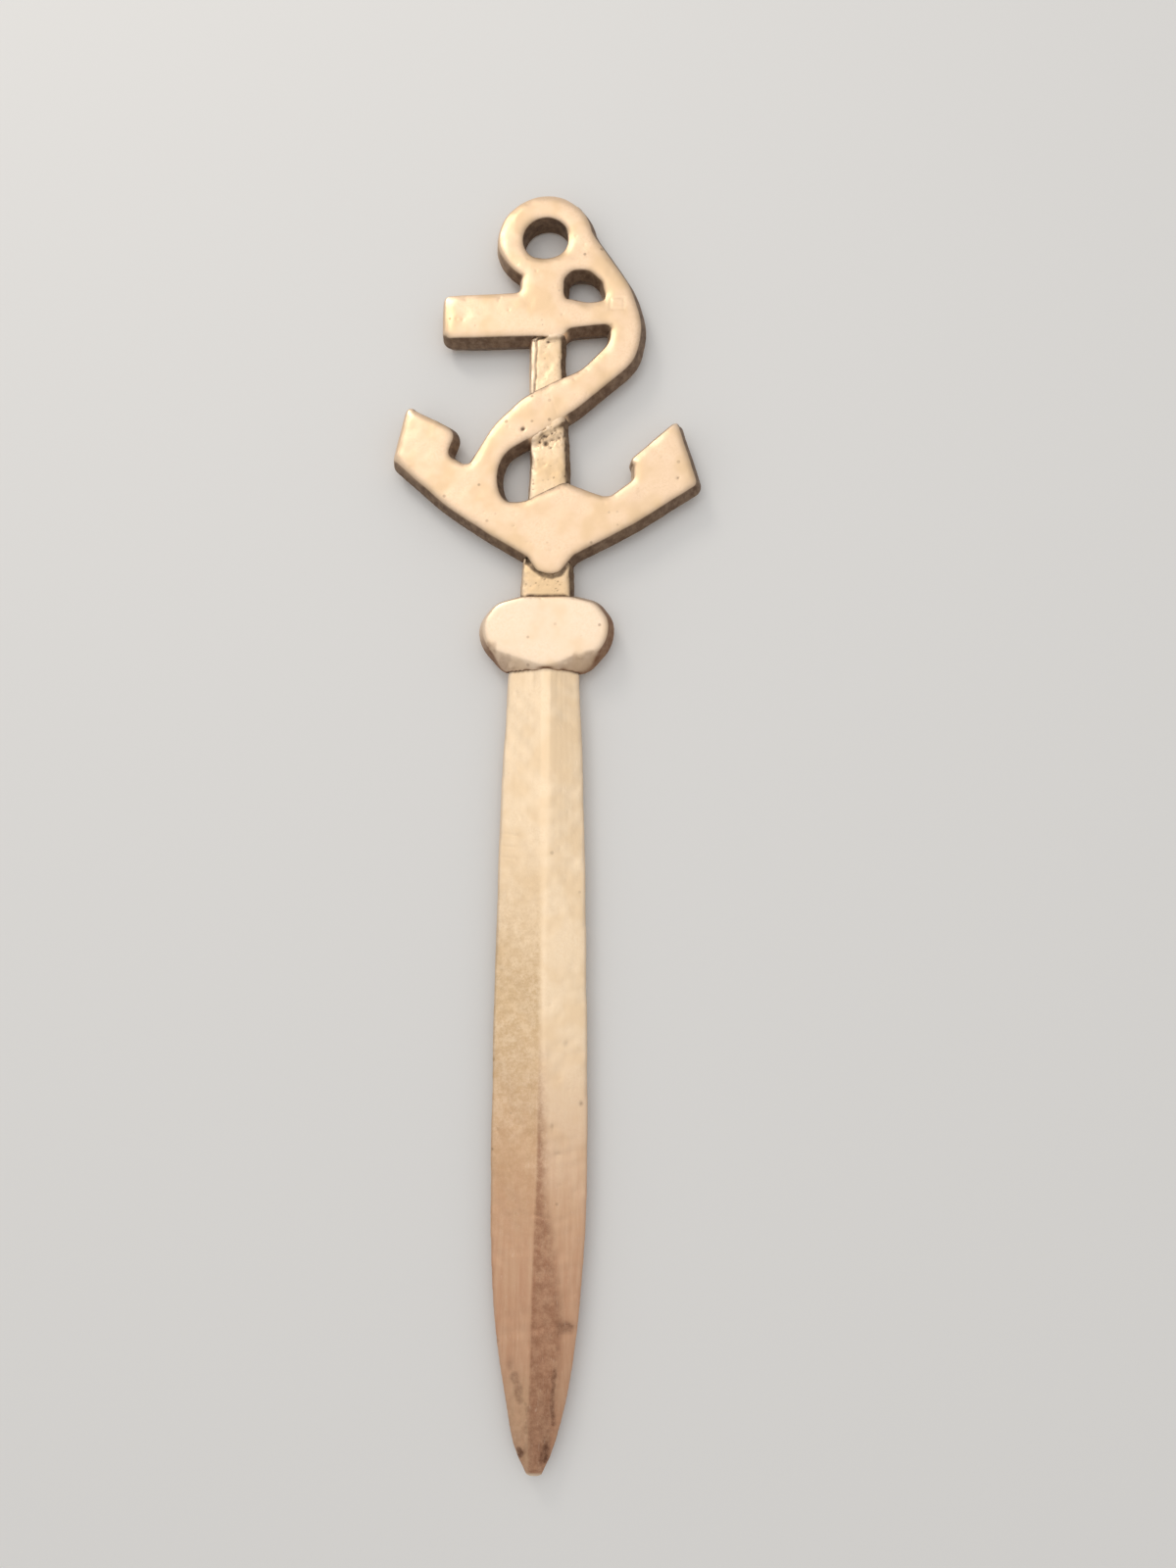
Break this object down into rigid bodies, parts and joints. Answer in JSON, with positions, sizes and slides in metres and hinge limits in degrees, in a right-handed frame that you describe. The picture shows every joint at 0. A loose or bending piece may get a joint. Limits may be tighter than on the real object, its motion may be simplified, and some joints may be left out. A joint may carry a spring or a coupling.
{
  "type": "letter opener",
  "caption": "Brass letter opener: flat ridged blade with a blunt point, oval collar, and an openwork anchor handle with a wrapped rope and a hanging ring.",
  "frame": {"origin": "on the flat back, under the middle of the collar", "axes": "+Y along the opener towards the hanging ring, +X across it to the right seen from the front, +Z out of the front face"},
  "size_m": [0.0516, 0.2044, 0.0048],
  "materials": {
    "cast_brass": "worn satin, rubbed bright on the faces, dark in the corners",
    "recessed_brass": "grainy satin with dark pits",
    "blade_brass": "satin with fine filing marks, pinker towards the point"
  },
  "bodies": {
    "root": {"ring": "cast_brass", "stock": "cast_brass", "rope": "cast_brass", "arms": "cast_brass", "collar": "cast_brass", "shank": "recessed_brass", "blade": "blade_brass"}
  },
  "joints": []
}
